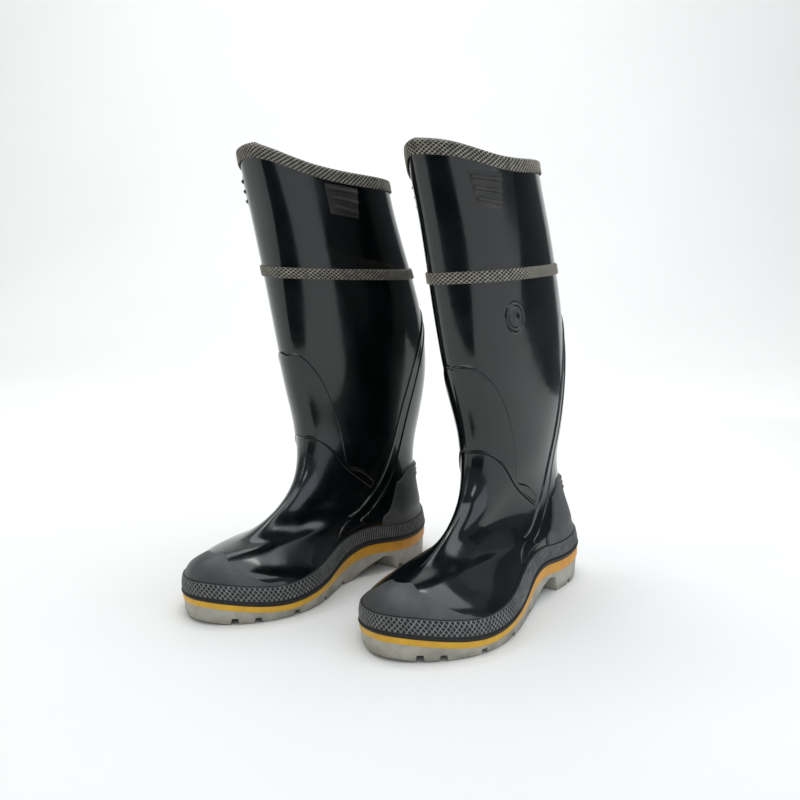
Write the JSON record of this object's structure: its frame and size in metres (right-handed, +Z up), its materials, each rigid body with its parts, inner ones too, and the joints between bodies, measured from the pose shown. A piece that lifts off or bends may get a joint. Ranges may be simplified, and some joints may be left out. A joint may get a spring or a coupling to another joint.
{
  "type": "fire boots",
  "caption": "Pair of knee-high black safety boots with knurled top trim, toe bumper, heel counter, yellow midsole and pale lugged outsole.",
  "frame": {"origin": "on the floor, under the middle of the box round both boots as they stand side by side", "axes": "+Z up from the floor to the leg openings, toes towards -Y, the wearer's left boot at +X"},
  "size_m": [0.3052, 0.3276, 0.4016],
  "materials": {
    "gloss_pvc": "glossy moulded PVC",
    "matt_rubber": "matt moulded rubber",
    "knurled_trim": "diamond knurled, dusty",
    "yellow_midsole": "satin moulded rubber",
    "grey_outsole": "matt moulded rubber",
    "lining_fabric": "knitted lining",
    "insole_foam": "felted foam",
    "board": "pressed fibre board",
    "steel": "pressed sheet"
  },
  "bodies": {
    "right_boot": {"right_upper": "gloss_pvc", "right_lining": "lining_fabric", "right_top_binding": "knurled_trim", "right_calf_band": "knurled_trim", "right_foxing": "matt_rubber", "right_toe_bumper": "matt_rubber", "right_heel_counter": "matt_rubber", "right_kick_spur": "matt_rubber", "right_instep_guard": "gloss_pvc", "right_ankle_strap": "gloss_pvc", "right_outer_grip": "gloss_pvc", "right_inner_grip": "gloss_pvc", "right_emblem": "gloss_pvc", "right_midsole": "yellow_midsole", "right_outsole": "grey_outsole", "right_ladder_shank": "steel", "right_steel_plate": "steel", "right_insole_board": "board", "right_insole": "insole_foam", "right_steel_toe_cap": "steel", "right_toe_cap_edge": "insole_foam"},
    "left_boot": {"left_upper": "gloss_pvc", "left_lining": "lining_fabric", "left_top_binding": "knurled_trim", "left_calf_band": "knurled_trim", "left_foxing": "matt_rubber", "left_toe_bumper": "matt_rubber", "left_heel_counter": "matt_rubber", "left_kick_spur": "matt_rubber", "left_instep_guard": "gloss_pvc", "left_ankle_strap": "gloss_pvc", "left_outer_grip": "gloss_pvc", "left_inner_grip": "gloss_pvc", "left_emblem": "gloss_pvc", "left_midsole": "yellow_midsole", "left_outsole": "grey_outsole", "left_ladder_shank": "steel", "left_steel_plate": "steel", "left_insole_board": "board", "left_insole": "insole_foam", "left_steel_toe_cap": "steel", "left_toe_cap_edge": "insole_foam"}
  },
  "joints": [
    {"name": "left_boot_lift", "type": "slide", "parent": "right_boot", "child": "left_boot", "axis": [0, 0, 1], "range_m": [0, 0.45]}
  ]
}
